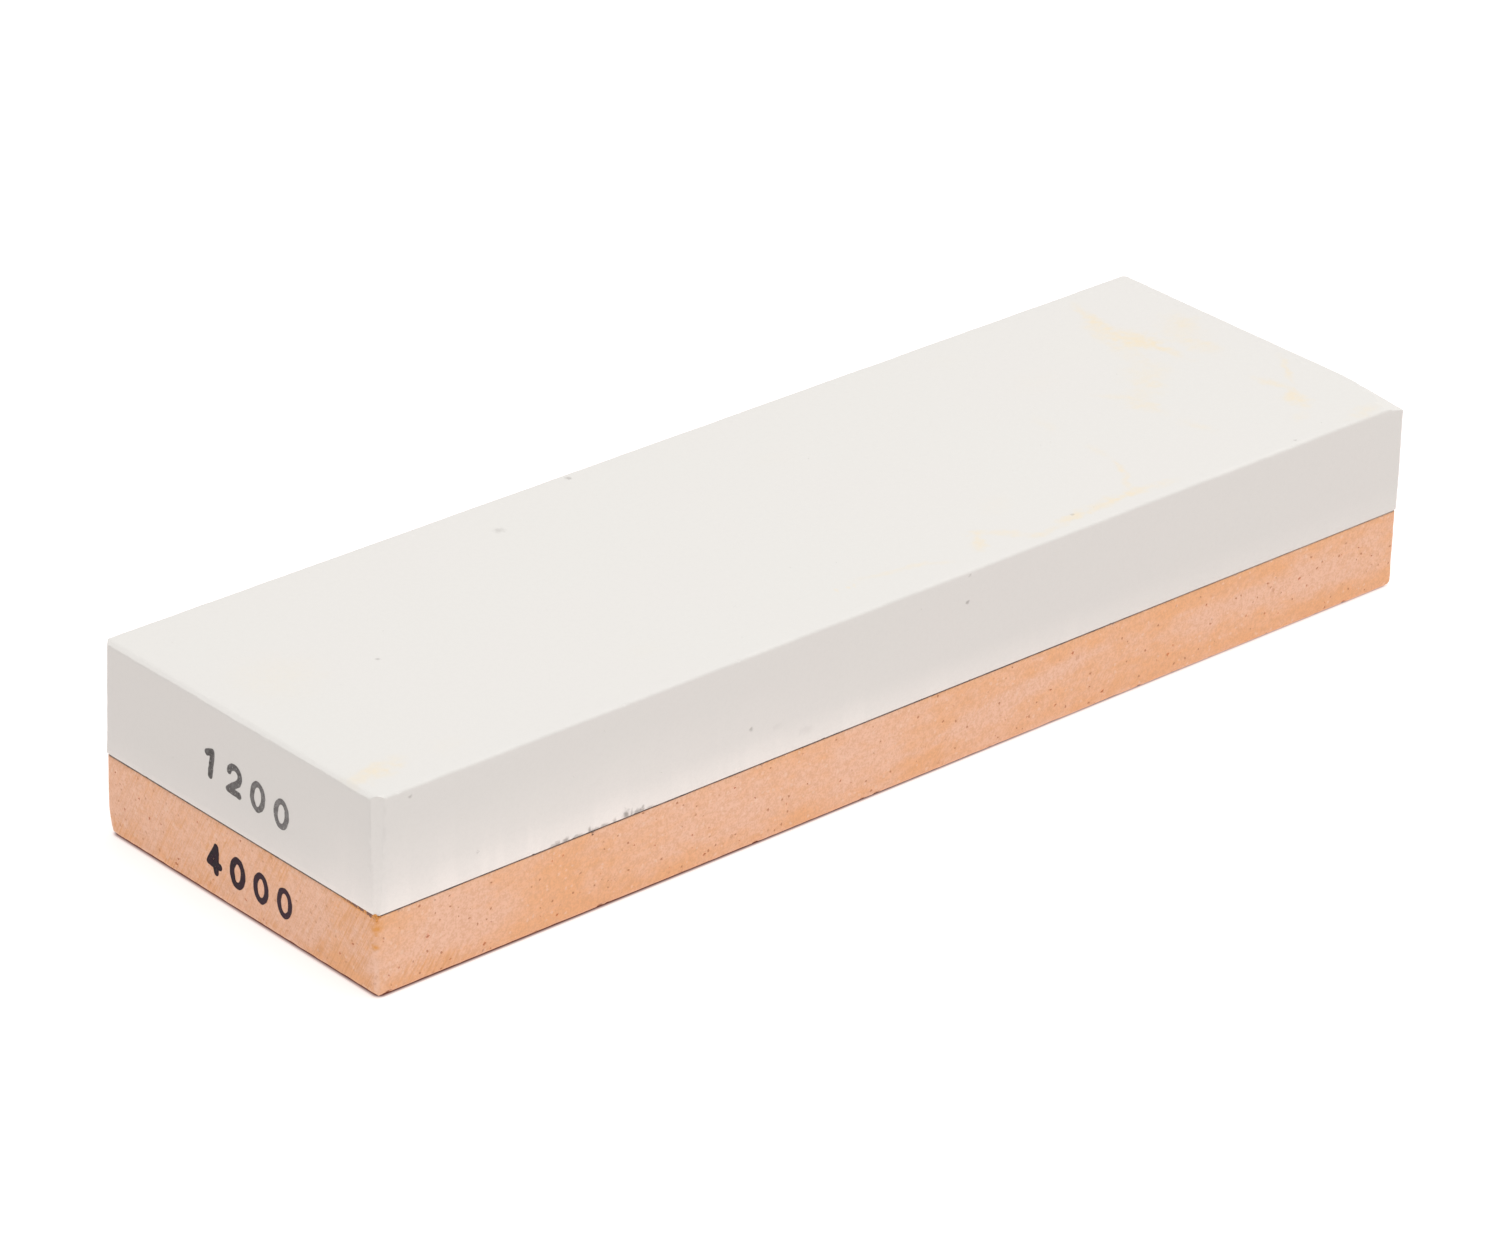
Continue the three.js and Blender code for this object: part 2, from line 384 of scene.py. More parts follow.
# Spot: one soft patch of a given reach in mm each way. Unevenness round 0 breaks its outline.
spot, given, result = begin_group(
    "spot",
    [("Place", vector, None), ("Centre", vector, (0, 0, 0)), ("Reach", vector, (1, 1, 1)),
     ("Turn", vector, (0, 0, 0)), ("Uneven", number, 0.0)],
    "Mask",
)
aside = add_node(spot, "VectorMath", {"operation": "SUBTRACT"},
                 {0: given["Place"], 1: given["Centre"]}).outputs[0]
turned = add_node(spot, "VectorRotate", {"rotation_type": "EULER_XYZ"},
                  {"Vector": aside, "Rotation": given["Turn"]}).outputs[0]
shrunk = add_node(spot, "VectorMath", {"operation": "DIVIDE"},
                  {0: turned, 1: given["Reach"]}).outputs[0]
far = add_node(spot, "VectorMath", {"operation": "LENGTH"}, {0: shrunk}).outputs["Value"]
soft = ramp(spot, calc(spot, "ADD", far, given["Uneven"]), 1.5, 0.1)
spot.links.new(calc(spot, "POWER", soft, 1.2), result)

# Grinding marks: fine straight scratches that lean one way.
grinding_marks, given, result = begin_group(
    "grinding marks",
    [("Place", vector, None), ("Turn", vector, (0, 0, 0)), ("Per mm", vector, (1, 1, 1))],
    "Mask",
)
turned = add_node(grinding_marks, "VectorRotate", {"rotation_type": "EULER_XYZ"},
                  {"Vector": given["Place"], "Rotation": given["Turn"]}).outputs[0]
drawn_out = add_node(grinding_marks, "VectorMath", {"operation": "MULTIPLY"},
                     {0: turned, 1: given["Per mm"]}).outputs[0]
grinding_marks.links.new(ramp(grinding_marks, cloud(grinding_marks, drawn_out, 1.0, 2.0),
                              0.42, 0.66), result)

# Grain: the sandy evenness of a bonded abrasive.
grain, given, result = begin_group(
    "abrasive grain", [("Place", vector, None), ("Per mm", number, 3.0)], "Height")
sand = cloud(grain, given["Place"], given["Per mm"], 4.0)
coarser = cloud(grain, given["Place"], calc(grain, "MULTIPLY", given["Per mm"], 0.33), 2.0)
grain.links.new(calc(grain, "ADD", calc(grain, "MULTIPLY", sand, 0.6),
                     calc(grain, "MULTIPLY", coarser, 0.4)), result)

fine_material, tree, shader, place = new_material("peach ceramic", 0.8)
pink = (0.89, 0.553, 0.402, 1)
orange = (0.88, 0.466, 0.246, 1)
brown = (0.42, 0.13, 0.05, 1)
amber = (0.78, 0.34, 0.09, 1)
axes = split(tree, place)

# How orange the body is: clouds all over, then the patches of the long side and of the end.
warmth = ramp(tree, cloud(tree, place, 0.055, 3.0), 0.33, 0.67, 0.1, 0.75)
low_down = ramp(tree, axes[2], 5.0, 1.5, 0.0, 0.3)
warmth = calc(tree, "ADD", warmth, low_down)
on_end = ramp(tree, axes[0], -99.0, -99.8)
warmth = calc(tree, "SUBTRACT", warmth, calc(tree, "MULTIPLY", on_end, 0.2))
end_lean = in_degrees(-28, 0, 0)
billow = unevenness(tree, place, 0.25, 0.8)
for centre, patch_reach, lean, strength in (
    ((-90, -30.4, 8), (17, 20, 7), (0, 0, 0), -0.9),
    ((-62, -30.4, 7), (18, 20, 12), (0, 0, 0), 0.5),
    ((-28, -30.4, 8), (15, 20, 5), (0, 0, 0), -0.3),
    ((66, -30.4, 12.3), (38, 20, 2.6), (0, 0, 0), 0.55),
    ((19, -30.4, 7.2), (20, 9, 1.7), in_degrees(0, 7, 0), -0.85),
    ((64, -30.4, 7.5), (18, 9, 2.4), (0, 0, 0), -0.5),
    ((88, -30.4, 6.3), (9, 9, 3), (0, 0, 0), -0.6),
    ((95, -30.4, 11.5), (9, 9, 3), (0, 0, 0), -0.5),
    ((90, -30.4, 1.8), (13, 9, 2.6), (0, 0, 0), 0.5),
    ((-100, 23.5, 4), (12, 2.2, 6), end_lean, 0.36),
    ((-100, 15.2, 6), (12, 2.2, 10), end_lean, 0.4),
    ((-100, -26, 7), (12, 8.5, 16), end_lean, 0.74),
    ((-100, -16, 7), (12, 5, 7), end_lean, -0.5),
    ((-100, 27, 9), (12, 4, 6), end_lean, -0.4),
):
    patch = use_group(tree, spot, Place=place, Centre=centre, Reach=patch_reach, Turn=lean,
                      Uneven=billow)
    warmth = calc(tree, "ADD", warmth, calc(tree, "MULTIPLY", patch, strength))
longer = add_node(tree, "Mapping", {}, {"Vector": place, "Scale": (0.45, 0.6, 1.0)}).outputs[0]
warmth = calc(tree, "ADD", warmth, unevenness(tree, longer, 0.8, 1.3))
colour = blend(tree, ramp(tree, warmth, -0.15, 1.15), pink, orange)

# The slanting marks, strongest on the stamped end and low on the long side next to it.
end_marks = use_group(tree, grinding_marks, Place=place, Turn=end_lean, Per_mm=(0, 3.2, 0.12))
end_marks = ramp(tree, end_marks, 0.15, 0.85)
end_bands = ramp(tree, warmth, 0.1, 0.8, 0.35, 1.1)
end_marks = calc(tree, "MULTIPLY", calc(tree, "MULTIPLY", end_marks, end_bands), on_end)
side_marks = use_group(tree, grinding_marks, Place=place, Turn=in_degrees(0, -35, 0),
                       Per_mm=(2.2, 0, 0.26))
side_bands = calc(tree, "ADD", ramp(tree, cloud(tree, place, 0.07, 1.0), 0.5, 0.62, 0.05, 0.4),
                  use_group(tree, spot, Place=place, Centre=(-90, -30.4, 1.6),
                            Reach=(9, 5, 2.4)))
side_marks = calc(tree, "MULTIPLY", side_marks, side_bands)
off_end = ramp(tree, on_end, 0.0, 1.0, 1.0, 0.0)
side_marks = calc(tree, "MULTIPLY", side_marks, off_end)
marks = calc(tree, "ADD", end_marks, side_marks)
colour = blend(tree, calc(tree, "MULTIPLY", marks, 0.85), colour, (0.80, 0.40, 0.19, 1))

# Brown specks, crowded in two places. The worn arrises and corners are painted a paler pink,
# partly worn ceramic and partly a painted highlight where their rounding catches the light.
sand = use_group(tree, grain, Place=place, Per_mm=3.2)
colour = blend(tree, ramp(tree, sand, 0.36, 0.62, 0.5, 0.0), colour, (0.68, 0.35, 0.19, 1))
crowd = use_group(tree, spot, Place=place, Centre=(-56, -30.4, 9.5), Reach=(7, 6, 3.5))
crowd = calc(tree, "ADD", crowd,
             use_group(tree, spot, Place=place, Centre=(-84, -30.4, 8.0), Reach=(9, 6, 4.5)))
tiny = use_group(tree, specks, Place=place, Per_mm=0.8, Size=0.22,
                 Share=calc(tree, "ADD", 0.27, calc(tree, "MULTIPLY", crowd, 0.5)))
tiny = calc(tree, "MULTIPLY", tiny, ramp(tree, on_end, 0.0, 1.0, 0.68, 0.36))
colour = blend(tree, tiny, colour, brown)
larger = use_group(tree, specks, Place=place, Per_mm=0.22, Size=0.42, Share=0.3)
colour = blend(tree, calc(tree, "MULTIPLY", larger, 0.3), colour, brown)
pale = use_group(tree, specks, Place=place, Per_mm=0.9, Size=0.3, Share=0.4)
colour = blend(tree, calc(tree, "MULTIPLY", pale, 0.35), colour, (0.93, 0.66, 0.52, 1))
# Painted highlight on the worn places: paler pink where the rounded arrises catch the light.
worn_and_highlit = add_node(tree, "Attribute", {"attribute_name": "worn_and_highlit"}).outputs["Fac"]
colour = blend(tree, ramp(tree, worn_and_highlit, 0.1, 0.8, 0.0, 0.3), colour, (0.93, 0.63, 0.49, 1))

# Resin that ran down the near corner and along the top edge of the end, and soaked in.
runny = unevenness(tree, place, 1.6, 1.5)
for centre, patch_reach, strength in (
    ((-100, -30.4, 12.1), (1.0, 1.2, 0.5), 0.7),
    ((-100, -30.3, 10.8), (1.1, 1.2, 1.0), 1.0),
    ((-100, -30.1, 8.1), (0.7, 0.9, 0.45), 1.0),
    ((-100, -26.5, 12.8), (1.5, 5.0, 0.42), 0.95),
):
    run = use_group(tree, spot, Place=place, Centre=centre, Reach=patch_reach, Uneven=runny)
    colour = blend(tree, calc(tree, "MULTIPLY", run, strength), colour, amber)

height = calc(tree, "SUBTRACT", sand, calc(tree, "MULTIPLY", marks, 0.35))
height = calc(tree, "SUBTRACT", height, calc(tree, "MULTIPLY", tiny, 1.6))
bump = add_node(tree, "Bump", {}, {"Height": height, "Strength": 0.35, "Distance": 0.05 * mm})
shader.inputs["Specular IOR Level"].default_value = 0.3
tree.links.new(bump.outputs[0], shader.inputs["Normal"])
tree.links.new(colour, shader.inputs["Base Color"])
tree.links.new(ramp(tree, sand, 0.3, 0.7, 0.72, 0.9), shader.inputs["Roughness"])
fine_piece.data.materials.append(fine_material)
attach(fine_piece, "root")
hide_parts("fine_stone")

# ---------------------------------------------------------------------------------------------
# The glue between the blocks. A film of resin clamped thin and cured to a dark line. It lies a
# little below the stones' faces, comes almost flush where more was squeezed out, and gets
# thinner and paler towards the plain end.
# ---------------------------------------------------------------------------------------------
glue_low = Vector(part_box("bond_layer")[0])
glue_high = Vector(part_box("bond_layer")[1])
glue_corner = 0.9 * mm
glue_swell = 0.09 * mm  # how far it comes out where it is almost flush


def at_glue_corner(point):
    return (min(point.x - glue_low.x, glue_high.x - point.x) < touching
            and min(point.y - glue_low.y, glue_high.y - point.y) < touching)


glue = lattice_box(glue_low, glue_high)
uprights = [e for e in glue.edges if all(at_glue_corner(v.co) for v in e.verts)]
bmesh.ops.bevel(glue, geom=uprights, offset=glue_corner, offset_type="OFFSET", segments=4,
                profile=0.5, affect="EDGES", clamp_overlap=True, material=-1)
glue.normal_update()
for vertex in glue.verts:
    gap = min(vertex.co.x - glue_low.x, glue_high.x - vertex.co.x,
              vertex.co.y - glue_low.y, glue_high.y - vertex.co.y)
    if gap < glue_corner:
        outward = Vector((vertex.normal.x, vertex.normal.y, 0))
        full = 0.5 + noise.noise(vertex.co / (4 * mm))
        full += 0.4 * noise.noise(vertex.co / (1.2 * mm))
        vertex.co += outward * glue_swell * min(max(full, 0), 1)
glue_piece = finish_piece(glue, "glue_line")

glue_material, tree, shader, place = new_material("cured glue", 0.45)
thick = ramp(tree, cloud(tree, place, 0.5, 3.0), 0.35, 0.65)
colour = blend(tree, thick, (0.15, 0.10, 0.08, 1), (0.055, 0.043, 0.043, 1))
thin = ramp(tree, split(tree, place)[0], 10.0, 92.0, 0.0, 0.85)
colour = blend(tree, thin, colour, (0.40, 0.31, 0.25, 1))
tree.links.new(colour, shader.inputs["Base Color"])
tree.links.new(ramp(tree, thick, 0.0, 1.0, 0.35, 0.6), shader.inputs["Roughness"])
glue_piece.data.materials.append(glue_material)
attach(glue_piece, "root")
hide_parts("bond_layer")

# ---------------------------------------------------------------------------------------------
# The squeezed-out resin. At the near corner the glue ran out clear of the dark film, filled the
# broken edge along the end and set there in amber beads.
# ---------------------------------------------------------------------------------------------
resin_ripple = 0.03 * mm
resin_setback = 0.015 * mm  # how far it stays behind the faces of the block
resin = bmesh.new()
for x, y, z, length, depth, tall in (
    (-99.80, -24.4, 12.86, 1.2, 0.22, 0.26),
    (-99.78, -26.0, 12.84, 1.2, 0.24, 0.32),
    (-99.76, -27.5, 12.80, 1.1, 0.27, 0.38),
    (-99.75, -28.7, 12.78, 0.9, 0.28, 0.42),
    (-99.74, -29.6, 12.80, 0.7, 0.30, 0.46),
    (-99.69, -30.09, 12.64, 0.36, 0.34, 0.38),
    (-99.30, -30.22, 12.84, 0.30, 0.22, 0.20),
    (-99.70, -30.08, 12.35, 0.22, 0.22, 0.34),
):
    ball = bmesh.ops.create_icosphere(resin, subdivisions=3, radius=1)["verts"]
    bmesh.ops.scale(resin, vec=Vector((depth, length, tall)) * mm, verts=ball)
    bmesh.ops.translate(resin, vec=Vector((x, y, z)) * mm, verts=ball)
for vertex in resin.verts:
    vertex.co += vertex.normal * resin_ripple * noise.noise(vertex.co / (0.3 * mm))
    vertex.co.x = max(vertex.co.x, fine_low.x + resin_setback)
    vertex.co.y = max(vertex.co.y, fine_low.y + resin_setback)
resin_piece = finish_piece(resin, "squeezed_resin")
resin_material, tree, shader, place = new_material("amber resin", 0.25)
depth_tone = ramp(tree, cloud(tree, place, 1.2, 2.0), 0.46, 0.61)
corner_bead = use_group(tree, spot, Place=place, Centre=(-100, -30.4, 12.6), Reach=(1, 1, 1))
depth_tone = calc(tree, "MAXIMUM", depth_tone, corner_bead)
colour = blend(tree, depth_tone, (0.16, 0.045, 0.012, 1), (0.66, 0.27, 0.05, 1))
tree.links.new(colour, shader.inputs["Base Color"])
tree.links.new(ramp(tree, depth_tone, 0.0, 1.0, 0.2, 0.38), shader.inputs["Roughness"])
resin_piece.data.materials.append(resin_material)
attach(resin_piece, "root")

# ---------------------------------------------------------------------------------------------
# The coarse block. A thicker slab of fine-grained white abrasive, pressed, fired and ground.
# Use has left faint rust-yellow stains on its honing face and worn down a corner of its plain
# end.
# ---------------------------------------------------------------------------------------------
coarse_low = Vector(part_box("coarse_stone")[0])
coarse_high = Vector(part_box("coarse_stone")[1])
coarse_arris = 0.45 * mm
coarse_rub = 0.12 * mm
rng = random.Random(11)
coarse_block = lattice_box(coarse_low, coarse_high)
ease_edges(coarse_block, coarse_low, coarse_high, coarse_low.z, coarse_arris)

coarse_pits = []
for x, z in ((9.1, 26.1), (-32.4, 19.2), (-94.2, 29.6)):
    coarse_pits.append((Vector((x * mm, coarse_low.y, z * mm)), 0.1 * mm))
coarse_pits += scatter_pits(coarse_low, coarse_high, coarse_high.z, 70, (0, 1, 1, 2),
                            (0.06 * mm, 0.09 * mm), rng)
sink_pits(coarse_block, coarse_pits, rng)

near_right = Vector((coarse_high.x, coarse_low.y, coarse_high.z))
far_right = Vector((coarse_high.x, coarse_high.y, coarse_high.z))
near_left = Vector((coarse_low.x, coarse_low.y, coarse_high.z))
far_left = Vector((coarse_low.x, coarse_high.y, coarse_high.z))
coarse_flats = [
    (far_left, (-0.74, 0.67, 0.021), 0.64 * mm),
    (far_left, (-0.5, 0.5, 0.7), 0.55 * mm),
    (near_left, (-0.62, 0, 0.78), 0.4 * mm),
    (near_left, (-0.72, -0.69, 0.03), 1.05 * mm),
    (near_right, (0.60, -0.07, 0.80), 1.12 * mm),
    (near_right, (0.31, -0.13, 0.94), 1.3 * mm),
    (far_right, (0.5, 0.5, 0.7), 0.6 * mm),
    (near_left, (-0.5, -0.5, 0.7), 0.75 * mm),
]
coarse_chips = chips_round(coarse_low, coarse_high, coarse_high.z, 14, 0.28 * mm, 0.4 * mm, rng)
coarse_chips += chips_round(coarse_low, coarse_high, coarse_low.z, 24, 0.16 * mm, 0.25 * mm,
                            rng)
coarse_chips.append((Vector((99.7, -21.8, 31.1)) * mm, 0.75 * mm))
wear(coarse_block, coarse_low, coarse_high, coarse_low.z, coarse_arris, coarse_rub,
     coarse_flats, coarse_chips, seed=2)
coarse_piece = finish_piece(coarse_block, "coarse_block")

coarse_material, tree, shader, place = new_material("white ceramic", 0.75)
body = (0.742, 0.721, 0.688, 1)
painted_bounce_white = (0.925, 0.872, 0.828, 1)
stain = (0.80, 0.70, 0.545, 1)
grey = (0.30, 0.27, 0.25, 1)
axes = split(tree, place)
mottle = ramp(tree, cloud(tree, place, 0.035, 3.0), 0.35, 0.65)
colour = blend(tree, mottle, body, (0.744, 0.719, 0.688, 1))
# The worn arrises and corners are painted paler: partly worn ceramic and partly a painted
# highlight where their rounding catches the light.
worn_and_highlit = add_node(tree, "Attribute", {"attribute_name": "worn_and_highlit"}).outputs["Fac"]
colour = blend(tree, ramp(tree, worn_and_highlit, 0.1, 0.8, 0.0, 0.5), colour, (0.80, 0.775, 0.74, 1))

# The sides and end are painted lighter towards the glue, most of all at the near corner:
# painted bounce light from the floor, not a paler ceramic.
low_down = ramp(tree, axes[2], 18.8, 12.8)
midway = use_group(tree, spot, Place=place, Centre=(-30, -32, 20), Reach=(85, 45, 200))
painted_low_light = calc(tree, "ADD", calc(tree, "MULTIPLY", midway, 0.38), 0.18)
glow_and_painted_light = calc(tree, "MULTIPLY", low_down, painted_low_light)
all_the_way = ramp(tree, axes[2], 28.0, 12.5)
near_corner = use_group(tree, spot, Place=place, Centre=(-100, -31, 20), Reach=(90, 16.5, 200),
                        Uneven=unevenness(tree, place, 0.1, 0.2))
painted_corner_light = calc(tree, "MULTIPLY", all_the_way, calc(tree, "MULTIPLY", near_corner, 0.6))
glow_and_painted_light = calc(tree, "ADD", glow_and_painted_light, painted_corner_light)
streaks = use_group(tree, grinding_marks, Place=place, Per_mm=(0.25, 0.25, 0.03))
glow_and_painted_light = calc(tree, "MULTIPLY", glow_and_painted_light, ramp(tree, streaks, 0.0, 1.0, 0.85, 1.05))
# Painted bounce light: the lower sides and end are blended towards a brighter white.
colour = blend(tree, glow_and_painted_light, colour, painted_bounce_white)

# Stains of the honing face: x and y, their reach two ways, their lean and their strength.
on_top = ramp(tree, axes[2], 30.2, 30.7)
stained = calc(tree, "MULTIPLY", ramp(tree, cloud(tree, place, 0.03, 3.0), 0.55, 0.75), 0.1)
swirl = add_node(tree, "TexNoise", {}, {"Vector": place, "Scale": 0.28, "Detail": 4.0})
swirl = add_node(tree, "Mapping", {}, {"Vector": swirl.outputs["Color"], "Scale": (3.6, 3.6, 0),
                                       "Location": (-1.8, -1.8, 0)}).outputs[0]
strayed = add_node(tree, "VectorMath", {"operation": "ADD"}, {0: place, 1: swirl}).outputs[0]
blotchy = unevenness(tree, place, 0.6, 1.25)
for x, y, long, wide, lean, strength in (
    (-96.5, -24.5, 5, 2.6, -10, 0.6),
    (-92, -23, 4.5, 1.6, 10, 0.4),
    (-88, 6, 9, 8, 20, 0.22),
    (-83, -24, 4, 3, 0, 0.2),
    (-43, -20, 5, 3, 0, 0.16),
    (12, 15, 5, 4, 0, 0.14),
    (27, -17, 4, 3, 30, 0.22),
    (61, 10, 6, 4, 0, 0.16),
    (55, 24, 5, 3, 0, 0.14),
    (-10, -23, 0.5, 1.0, -20, 0.85),
    (-8, -23.2, 0.45, 0.9, -20, 0.8),
    (-6.8, -23, 0.4, 0.7, -20, 0.6),
    (0, -23.5, 7, 1.0, -12, 0.5),
    (7, -25.3, 4, 0.9, -25, 0.35),
    (16.5, -24.2, 3.2, 1.3, 50, 0.75),
    (21.5, -24.8, 5, 1.2, -40, 0.55),
    (27, -28.2, 4, 1.0, 0, 0.5),
    (33, -27, 3.5, 1.6, 0, 0.65),
    (40, -26.6, 7, 1.6, 2, 0.75),
    (48, -27, 7, 1.2, -5, 0.6),
    (47.5, -23.5, 3.0, 0.8, 50, 0.6),
    (50, -19.5, 3.2, 1.0, 62, 0.75),
    (51.5, -13, 3.6, 1.2, 85, 0.4),
    (52, -2, 4, 1.6, 85, 0.3),
    (84.3, 11, 5.0, 3.0, 82, 0.95),
    (82, 17, 6, 2.2, 70, 0.6),
    (84.6, 22.5, 5.5, 1.3, 80, 0.6),
    (85, 5, 4.5, 1.3, 95, 0.6),
    (80, 9.5, 5, 3, 60, 0.3),
    (92, 9.5, 6.5, 4.5, 75, 0.42),
    (90, 3, 5, 2.4, 100, 0.42),
    (95, 12, 4, 2.5, 80, 0.3),
    (77, 1.5, 6, 4.5, 25, 0.45),
    (70.5, -3.5, 6, 3.2, 20, 0.42),
    (66.5, -1.0, 3.5, 1.4, 130, 0.4),
    (68.5, -8, 5, 1.8, 100, 0.4),
    (69, -16.5, 4, 1.6, 100, 0.4),
    (87.9, -18.9, 2.8, 2.4, 60, 0.95),
    (89, -13, 4, 1.3, 95, 0.65),
    (94.2, -11, 6.5, 0.8, 52, 0.7),
    (84, -24, 4, 1.6, 30, 0.35),
    (93.5, -28.6, 5, 1.5, 5, 0.5),
):
    patch = use_group(tree, spot, Place=strayed, Centre=(x, y, 31), Reach=(long, wide, 4),
                      Turn=in_degrees(0, 0, -lean), Uneven=blotchy)
    stained = calc(tree, "ADD", stained, calc(tree, "MULTIPLY", patch, strength))
stained = ramp(tree, stained, 0.0, 1.2)
faded = ramp(tree, cloud(tree, place, 0.9, 3.0), 0.25, 0.6, 0.5, 1.0)
stained = calc(tree, "MULTIPLY", stained, faded)
colour = blend(tree, calc(tree, "MULTIPLY", stained, on_top), colour, stain)

# Dark specks and smudges, and the glue smeared up from the joint by the wiping.
smeary = unevenness(tree, place, 1.8, 1.8)
for centre, patch_reach, strength in (
    ((-35, 22, 31), (0.9, 0.8, 1), 0.28),
    ((-74, 1.5, 31), (0.4, 0.4, 1), 0.4),
    ((-16, 29, 31), (0.5, 0.5, 1), 0.45),
    ((-22, -30.4, 15.5), (1.3, 1, 0.8), 0.1),
    ((-27.5, -30.4, 18), (0.8, 1, 0.6), 0.08),
    ((9.1, -30.4, 26.1), (0.35, 1, 0.3), 0.7),
    ((-32.4, -30.4, 19.2), (0.35, 1, 0.3), 0.6),
    ((-94.2, -30.4, 29.6), (0.4, 1, 0.25), 0.45),
    ((-68.2, -30.4, 13.1), (1.0, 1, 0.45), 0.7),
    ((-66.5, -30.4, 13.2), (0.7, 1, 0.5), 0.75),
    ((-64.5, -30.4, 13.1), (1.0, 1, 0.35), 0.6),
    ((-62.2, -30.4, 13.4), (0.25, 1, 0.75), 0.7),
    ((-61.4, -30.4, 13.1), (0.9, 1, 0.35), 0.7),
    ((-59.4, -30.4, 13.1), (1.2, 1, 0.35), 0.6),
    ((-57.6, -30.4, 13.1), (0.4, 1, 0.6), 0.6),
    ((-55.5, -30.4, 13.5), (0.65, 1, 0.85), 0.85),
    ((-54.5, -30.4, 13.3), (0.3, 1, 0.7), 0.75),
    ((-53.3, -30.4, 13.2), (0.8, 1, 0.55), 0.8),
    ((-52.4, -30.4, 13.3), (0.3, 1, 0.65), 0.7),
    ((-51.0, -30.4, 13.1), (0.8, 1, 0.35), 0.5),
):
    patch = use_group(tree, spot, Place=place, Centre=centre, Reach=patch_reach, Uneven=smeary)
    colour = blend(tree, calc(tree, "MULTIPLY", patch, strength), colour, grey)
tiny = use_group(tree, specks, Place=place, Per_mm=0.12, Size=0.35, Share=0.3)
colour = blend(tree, calc(tree, "MULTIPLY", tiny, 0.3), colour, grey)

sand = use_group(tree, grain, Place=place, Per_mm=4.0)
colour = blend(tree, ramp(tree, sand, 0.35, 0.6, 0.10, 0.0), colour, (0.62, 0.595, 0.56, 1))
bump = add_node(tree, "Bump", {}, {"Height": sand, "Strength": 0.25, "Distance": 0.04 * mm})
shader.inputs["Specular IOR Level"].default_value = 0.3
tree.links.new(bump.outputs[0], shader.inputs["Normal"])
tree.links.new(colour, shader.inputs["Base Color"])
tree.links.new(ramp(tree, sand, 0.3, 0.7, 0.68, 0.84), shader.inputs["Roughness"])
coarse_piece.data.materials.append(coarse_material)
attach(coarse_piece, "root")
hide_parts("coarse_stone")

# ---------------------------------------------------------------------------------------------
# The stamped grit numbers. Ink from a rubber stamp, pressed on the end of each block and soaked
# in, so that its outline spreads a little and its tone is patchy. It thins out to the right.
# ---------------------------------------------------------------------------------------------
ink_front = coarse_low.x - 0.02 * mm
ink_back = coarse_low.x + 0.03 * mm
soft_rim = 0.11 * mm
ink_ripple = 0.11 * mm
for stone, dark, light, firm, spread in (
    ("coarse", (0.07, 0.064, 0.062, 1), (0.25, 0.24, 0.235, 1), 0.92, (0.10, 0.10, 0.05, 0.03)),
    ("fine", (0.009, 0.003, 0.008, 1), (0.055, 0.025, 0.038, 1), 1.2, (0.13, 0.12, 0.07, 0.03)),
):
    ink_material, tree, shader, place = new_material(stone + " stamp ink", 0.6)
    axes = split(tree, place)
    rightward = ramp(tree, axes[1], 9.0, -12.0)
    blotch = ramp(tree, cloud(tree, place, 1.4, 4.0), 0.35, 0.68)
    tone = calc(tree, "ADD", calc(tree, "MULTIPLY", blotch, 0.55),
                calc(tree, "MULTIPLY", rightward, 0.5))
    tree.links.new(blend(tree, tone, dark, light), shader.inputs["Base Color"])
    shader.inputs["Specular IOR Level"].default_value = 0.15
    rim = add_node(tree, "Attribute", {"attribute_name": "inked"}).outputs["Fac"]
    cover = ramp(tree, cloud(tree, place, 2.6, 3.0), 0.7, 0.5, firm - 0.4, firm)
    cover = calc(tree, "MULTIPLY", ramp(tree, rim, 0.0, 1.0), cover)
    tree.links.new(cover, shader.inputs["Alpha"])
    tree.links.new(ramp(tree, blotch, 0.0, 1.0, 0.5, 0.7), shader.inputs["Roughness"])
    for i in range(4):
        node = f"{stone}_grit_digit_{i + 1}"
        digit = bmesh.new()
        digit.from_mesh(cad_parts[node].data)
        bmesh.ops.remove_doubles(digit, verts=digit.verts, dist=touching)
        digit.normal_update()
        front_x = min(v.co.x for v in digit.verts)
        front = [f for f in digit.faces if f.normal.x < -0.9]
        for vertex in digit.verts:
            outward = Vector((0, vertex.normal.y, vertex.normal.z))
            outward = outward.normalized() if outward.length > 0.1 else outward
            uneven = noise.noise(vertex.co.yzx / (0.8 * mm) + Vector((i, 0, 0)))
            vertex.co += outward * (spread[i] * mm + ink_ripple * uneven)
            vertex.co.x = ink_front if vertex.co.x < front_x + touching else ink_back
        bmesh.ops.inset_region(digit, faces=front, thickness=soft_rim, depth=0,
                               use_boundary=True, use_even_offset=False)
        inked = digit.verts.layers.float.new("inked")
        for face in front:
            for vertex in face.verts:
                vertex[inked] = 1
        ink_piece = finish_piece(digit, f"{stone}_ink_{i + 1}")
        ink_piece.data.materials.append(ink_material)
        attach(ink_piece, "root")
        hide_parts(node)

